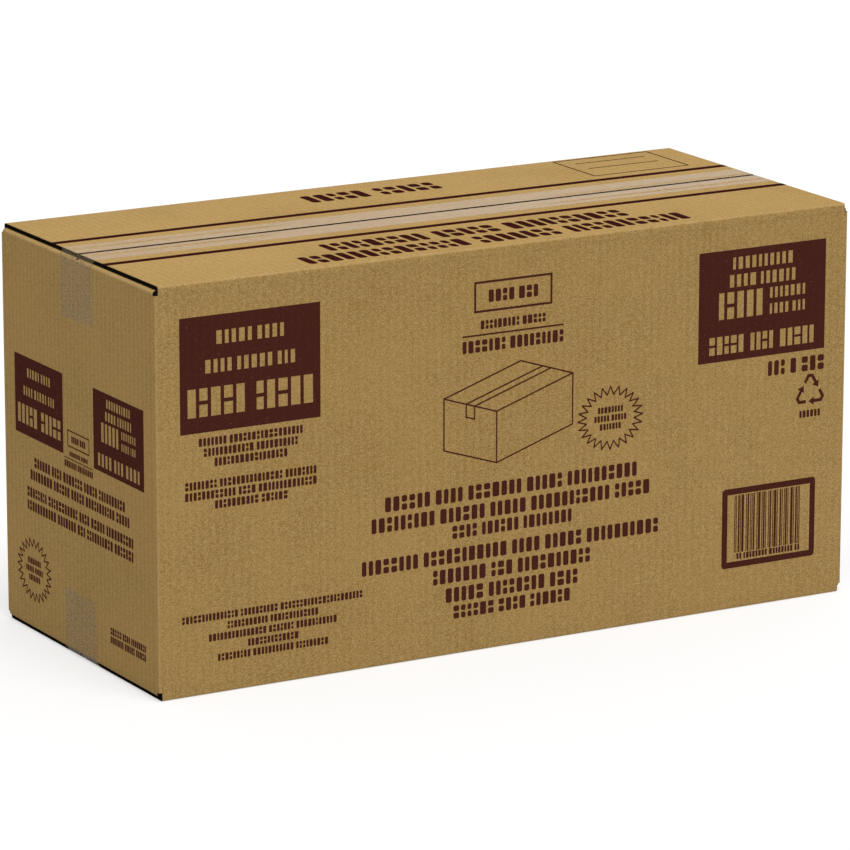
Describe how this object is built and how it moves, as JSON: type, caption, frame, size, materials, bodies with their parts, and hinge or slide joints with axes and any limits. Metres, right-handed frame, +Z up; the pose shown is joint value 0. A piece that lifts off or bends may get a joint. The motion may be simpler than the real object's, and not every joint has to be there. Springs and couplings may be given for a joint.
{
  "type": "corrugated shipping case",
  "caption": "Oblong corrugated shipping case, closed and taped along its top and bottom seams, with plain fields of print on its panels.",
  "frame": {"origin": "middle of the base, on the surface that the case stands on", "axes": "+X along the length, towards the right end as the front is faced; -Y out of the front long panel; +Z up"},
  "size_m": [0.5752, 0.2442, 0.2981],
  "materials": {
    "kraft_board": "matt brown kraft liner over fine flutes",
    "clear_tape": "clear glossy packing tape, slightly milky",
    "brown_ink": "matt dark brown ink"
  },
  "bodies": {
    "root": {"case": "kraft_board", "top_tape": "clear_tape", "bottom_tape": "clear_tape", "front_print": "brown_ink", "back_print": "brown_ink", "left_end_print": "brown_ink", "right_end_print": "brown_ink", "top_print": "brown_ink"}
  },
  "joints": []
}
